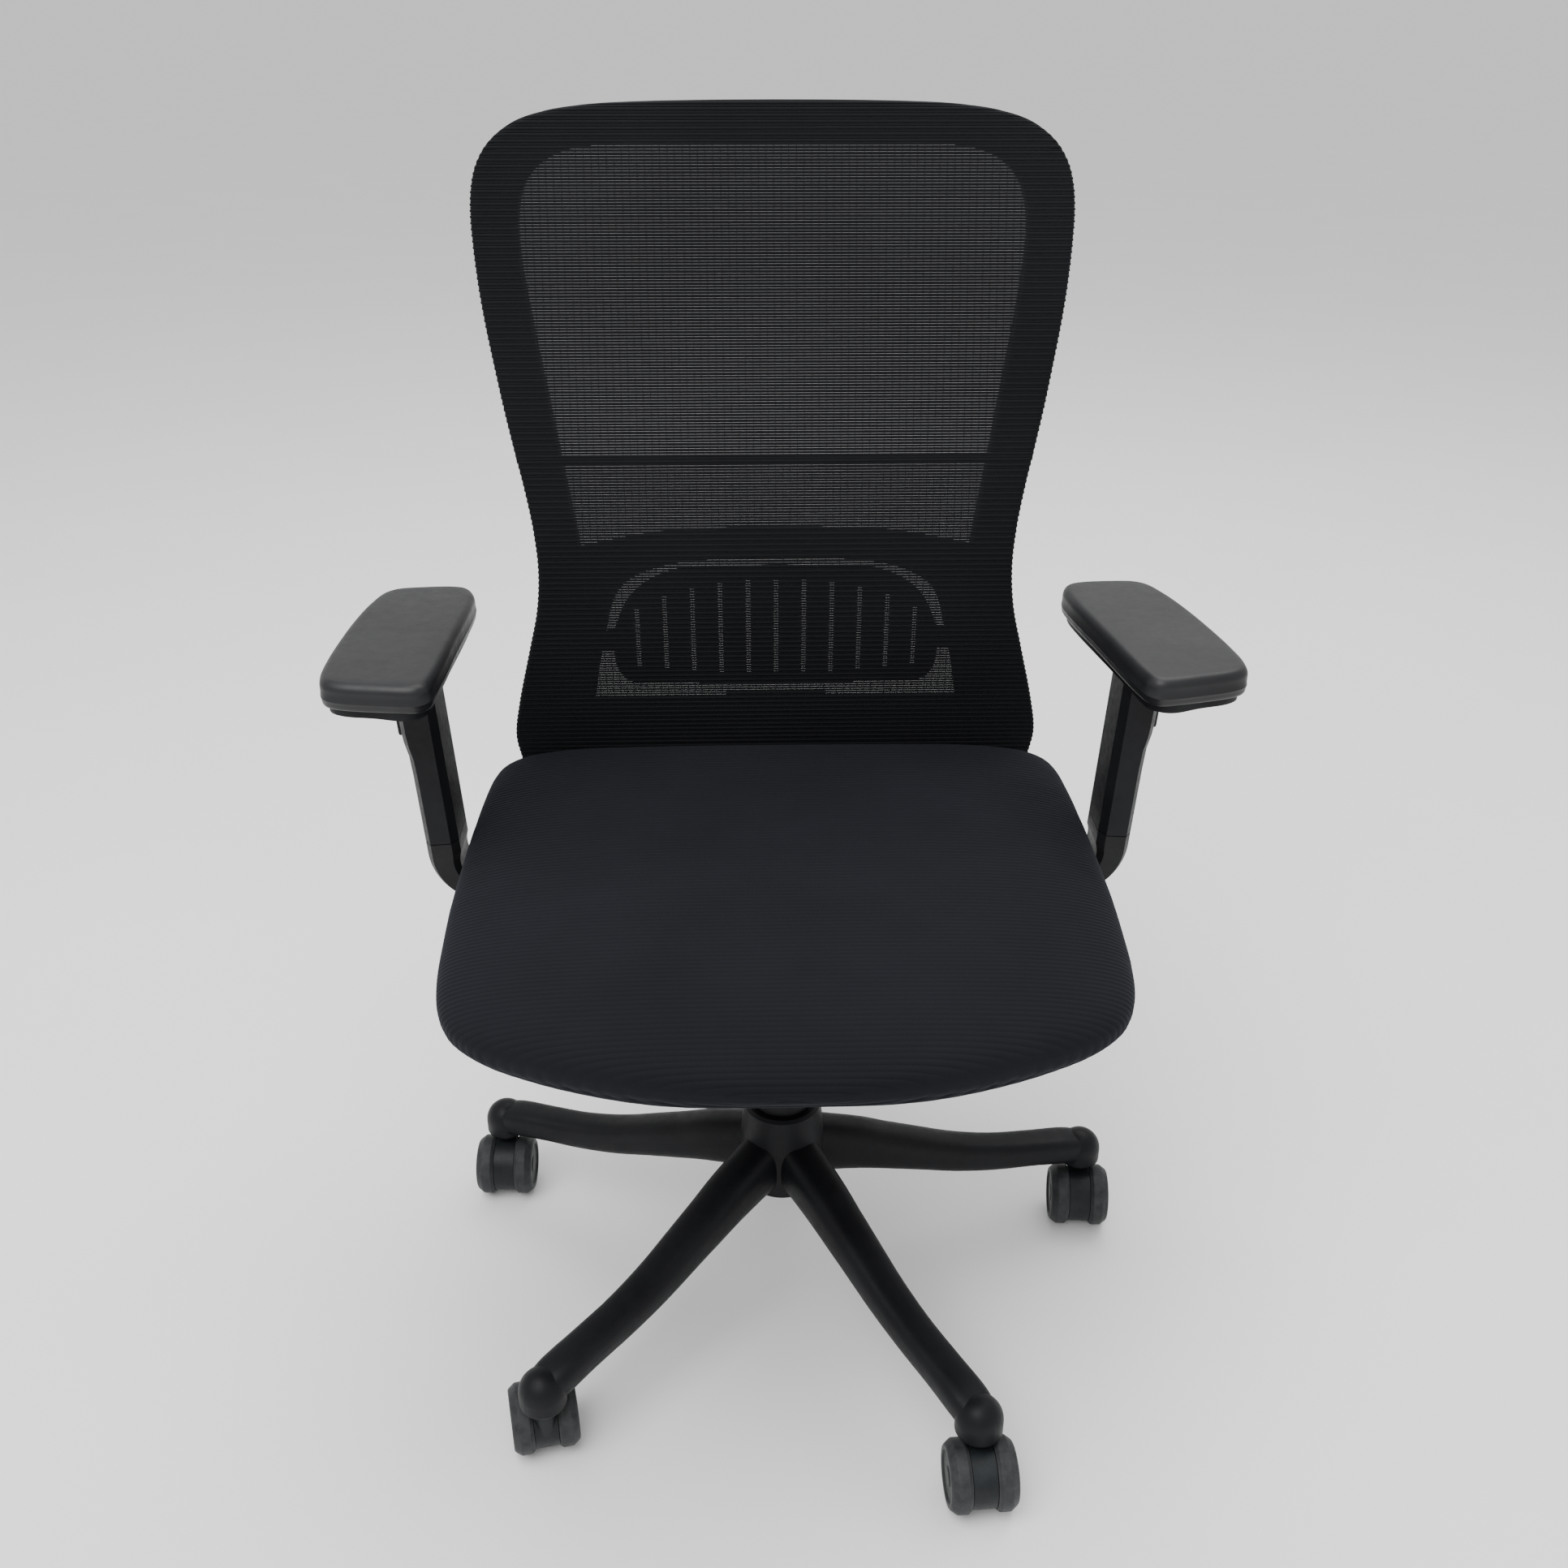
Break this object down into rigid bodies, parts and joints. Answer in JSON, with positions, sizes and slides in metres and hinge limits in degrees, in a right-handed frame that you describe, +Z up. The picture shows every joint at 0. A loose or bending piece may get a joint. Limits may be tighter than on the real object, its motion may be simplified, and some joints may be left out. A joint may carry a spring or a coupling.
{
  "type": "swivel office chair",
  "caption": "Swivel task chair with a ribbed padded seat, a tall curved mesh back with sliding lumbar pad, height-adjustable arms, gas lift and a star base on twin-wheel casters.",
  "frame": {"origin": "on the floor, under the axis of the gas lift", "axes": "+Z up; the sitter faces -Y, so the back stands on the +Y side; +X is the sitter's left"},
  "size_m": [0.6997, 0.5927, 0.9452],
  "materials": {
    "shell_plastic": "smooth moulded black nylon, low sheen",
    "frame_plastic": "moulded black nylon, satin",
    "pad_foam": "soft moulded polyurethane, satin dark grey with a fine skin",
    "wheel_tread": "worn grey nylon",
    "hood_plastic": "dark grey nylon, satin",
    "black_steel": "black powder coat",
    "bright_steel": "plain ground steel",
    "zinc_bolts": "black zinc plate",
    "chrome_rod": "polished",
    "seat_fabric": "ribbed woven upholstery, near black",
    "back_mesh_fabric": "ribbed open mesh, dark grey",
    "plywood": "bare plywood",
    "bush_plastic": "black acetal"
  },
  "bodies": {
    "base": {"base_star": "shell_plastic", "caster_stems": "bright_steel", "gas_lift_outer_tube": "black_steel", "gas_lift_guide_bush": "bush_plastic", "gas_lift_thrust_bearing": "bright_steel"},
    "gas_rod": {"gas_lift_piston_rod": "chrome_rod", "gas_lift_foot_clip": "bright_steel"},
    "mechanism": {"gas_lift_cylinder": "chrome_rod", "mechanism_housing": "black_steel", "tilt_pivot_pin": "bright_steel", "tension_bolt": "zinc_bolts", "tension_spring": "bright_steel"},
    "valve": {"gas_lift_valve_pin": "bright_steel"},
    "tension_knob_body": {"tension_knob": "frame_plastic"},
    "lock_slider": {"tilt_lock_tongue": "frame_plastic"},
    "lever": {"lever_rod": "black_steel", "lever_handle": "frame_plastic"},
    "seat": {"mechanism_top_plate": "black_steel", "seat_plate_bolts": "zinc_bolts", "seat_board": "plywood", "seat_cushion": "seat_fabric", "seat_under_cover": "shell_plastic", "back_bracket": "black_steel", "back_bolts": "zinc_bolts", "back_frame": "frame_plastic", "back_mesh": "back_mesh_fabric", "arm_left_bracket": "black_steel", "arm_right_bracket": "black_steel", "arm_bolts": "zinc_bolts"},
    "lumbar": {"lumbar_pad": "frame_plastic"},
    "arm_left_slider": {"arm_left_sleeve": "frame_plastic"},
    "arm_left_button_body": {"arm_left_button": "frame_plastic"},
    "arm_left_rest": {"arm_left_pad_base": "frame_plastic", "arm_left_pad": "pad_foam"},
    "arm_right_slider": {"arm_right_sleeve": "frame_plastic"},
    "arm_right_button_body": {"arm_right_button": "frame_plastic"},
    "arm_right_rest": {"arm_right_pad_base": "frame_plastic", "arm_right_pad": "pad_foam"},
    "caster_1": {"caster_1_hood": "hood_plastic", "caster_1_axle": "bright_steel"},
    "caster_1_roller_a": {"caster_1_wheel_a": "wheel_tread"},
    "caster_1_roller_b": {"caster_1_wheel_b": "wheel_tread"},
    "caster_2": {"caster_2_hood": "hood_plastic", "caster_2_axle": "bright_steel"},
    "caster_2_roller_a": {"caster_2_wheel_a": "wheel_tread"},
    "caster_2_roller_b": {"caster_2_wheel_b": "wheel_tread"},
    "caster_3": {"caster_3_hood": "hood_plastic", "caster_3_axle": "bright_steel"},
    "caster_3_roller_a": {"caster_3_wheel_a": "wheel_tread"},
    "caster_3_roller_b": {"caster_3_wheel_b": "wheel_tread"},
    "caster_4": {"caster_4_hood": "hood_plastic", "caster_4_axle": "bright_steel"},
    "caster_4_roller_a": {"caster_4_wheel_a": "wheel_tread"},
    "caster_4_roller_b": {"caster_4_wheel_b": "wheel_tread"},
    "caster_5": {"caster_5_hood": "hood_plastic", "caster_5_axle": "bright_steel"},
    "caster_5_roller_a": {"caster_5_wheel_a": "wheel_tread"},
    "caster_5_roller_b": {"caster_5_wheel_b": "wheel_tread"}
  },
  "joints": [
    {"name": "base_swivel", "type": "hinge", "parent": "base", "child": "gas_rod", "pos_m": [0, 0, 0.104], "axis": [0, 0, 1], "continuous": true},
    {"name": "seat_height", "type": "slide", "parent": "gas_rod", "child": "mechanism", "axis": [0, 0, 1], "range_m": [0, 0.1]},
    {"name": "tilt", "type": "hinge", "parent": "mechanism", "child": "seat", "pos_m": [0, -0.045, 0.322], "axis": [-1, 0, 0], "range_deg": [0, 12], "stiffness_Nm_per_rad": 60, "springref_deg": -20.05},
    {"name": "tilt_lock", "type": "slide", "parent": "mechanism", "child": "lock_slider", "axis": [-1, 0, 0], "range_m": [0, 0.012]},
    {"name": "lever_lift", "type": "hinge", "parent": "lock_slider", "child": "lever", "pos_m": [-0.0805, 0, 0.3227], "axis": [0, 1, 0], "range_deg": [0, 2.5], "stiffness_Nm_per_rad": 2},
    {"name": "valve_press", "type": "slide", "parent": "mechanism", "child": "valve", "axis": [0, 0, -1], "range_m": [0, 0.0041]},
    {"name": "tension_turn", "type": "hinge", "parent": "mechanism", "child": "tension_knob_body", "pos_m": [0, -0.075, 0.272], "axis": [0, 0, 1], "continuous": true},
    {"name": "lumbar_height", "type": "slide", "parent": "seat", "child": "lumbar", "axis": [0, 0, 1], "range_m": [-0.02, 0.02]},
    {"name": "arm_height_left", "type": "slide", "parent": "seat", "child": "arm_left_slider", "axis": [-0.0576, 0, 0.9983], "range_m": [0, 0.07]},
    {"name": "arm_height_right", "type": "slide", "parent": "seat", "child": "arm_right_slider", "axis": [0.0576, 0, 0.9983], "range_m": [0, 0.07]},
    {"name": "arm_button_left", "type": "slide", "parent": "arm_left_slider", "child": "arm_left_button_body", "axis": [0.9983, 0, 0.0576], "range_m": [0, 0.0025], "stiffness_N_per_m": 400},
    {"name": "arm_button_right", "type": "slide", "parent": "arm_right_slider", "child": "arm_right_button_body", "axis": [-0.9983, 0, 0.0576], "range_m": [0, 0.0025], "stiffness_N_per_m": 400},
    {"name": "arm_pad_turn_left", "type": "hinge", "parent": "arm_left_slider", "child": "arm_left_rest", "pos_m": [-0.2879, 0.086, 0.547], "axis": [0, 0, 1], "range_deg": [-13.3, 16.7]},
    {"name": "arm_pad_turn_right", "type": "hinge", "parent": "arm_right_slider", "child": "arm_right_rest", "pos_m": [0.2879, 0.086, 0.547], "axis": [0, 0, 1], "range_deg": [-23.7, 6.3]},
    {"name": "caster_1_swivel", "type": "hinge", "parent": "base", "child": "caster_1", "pos_m": [0.27867, 0.05974, 0.05], "axis": [0, 0, 1], "continuous": true},
    {"name": "caster_1_roll_a", "type": "hinge", "parent": "caster_1", "child": "caster_1_roller_a", "pos_m": [0.27732, 0.0443, 0.0275], "axis": [0.9962, -0.0872, 0], "continuous": true},
    {"name": "caster_1_roll_b", "type": "hinge", "parent": "caster_1", "child": "caster_1_roller_b", "pos_m": [0.27732, 0.0443, 0.0275], "axis": [0.9962, -0.0872, 0], "continuous": true},
    {"name": "caster_2_swivel", "type": "hinge", "parent": "base", "child": "caster_2", "pos_m": [0.0293, 0.28349, 0.05], "axis": [0, 0, 1], "continuous": true},
    {"name": "caster_2_roll_a", "type": "hinge", "parent": "caster_2", "child": "caster_2_roller_a", "pos_m": [0.02399, 0.26893, 0.0275], "axis": [0.9397, -0.342, 0], "continuous": true},
    {"name": "caster_2_roll_b", "type": "hinge", "parent": "caster_2", "child": "caster_2_roller_b", "pos_m": [0.02399, 0.26893, 0.0275], "axis": [0.9397, -0.342, 0], "continuous": true},
    {"name": "caster_3_swivel", "type": "hinge", "parent": "base", "child": "caster_3", "pos_m": [-0.26056, 0.11546, 0.05], "axis": [0, 0, 1], "continuous": true},
    {"name": "caster_3_roll_a", "type": "hinge", "parent": "caster_3", "child": "caster_3_roller_a", "pos_m": [-0.2611, 0.09997, 0.0275], "axis": [0.9994, -0.0349, 0], "continuous": true},
    {"name": "caster_3_roll_b", "type": "hinge", "parent": "caster_3", "child": "caster_3_roller_b", "pos_m": [-0.2611, 0.09997, 0.0275], "axis": [0.9994, -0.0349, 0], "continuous": true},
    {"name": "caster_4_swivel", "type": "hinge", "parent": "base", "child": "caster_4", "pos_m": [-0.19033, -0.21213, 0.05], "axis": [0, 0, 1], "continuous": true},
    {"name": "caster_4_roll_a", "type": "hinge", "parent": "caster_4", "child": "caster_4_roller_a", "pos_m": [-0.19379, -0.19702, 0.0275], "axis": [-0.9748, -0.2233, 0], "continuous": true},
    {"name": "caster_4_roll_b", "type": "hinge", "parent": "caster_4", "child": "caster_4_roller_b", "pos_m": [-0.19379, -0.19702, 0.0275], "axis": [-0.9748, -0.2233, 0], "continuous": true},
    {"name": "caster_5_swivel", "type": "hinge", "parent": "base", "child": "caster_5", "pos_m": [0.14293, -0.24657, 0.05], "axis": [0, 0, 1], "continuous": true},
    {"name": "caster_5_roll_a", "type": "hinge", "parent": "caster_5", "child": "caster_5_roller_a", "pos_m": [0.14388, -0.26204, 0.0275], "axis": [0.9981, 0.061, 0], "continuous": true},
    {"name": "caster_5_roll_b", "type": "hinge", "parent": "caster_5", "child": "caster_5_roller_b", "pos_m": [0.14388, -0.26204, 0.0275], "axis": [0.9981, 0.061, 0], "continuous": true}
  ],
  "couplings": [
    {"joint": "valve_press", "follows": "lever_lift", "m_per_rad": 0.0938}
  ]
}
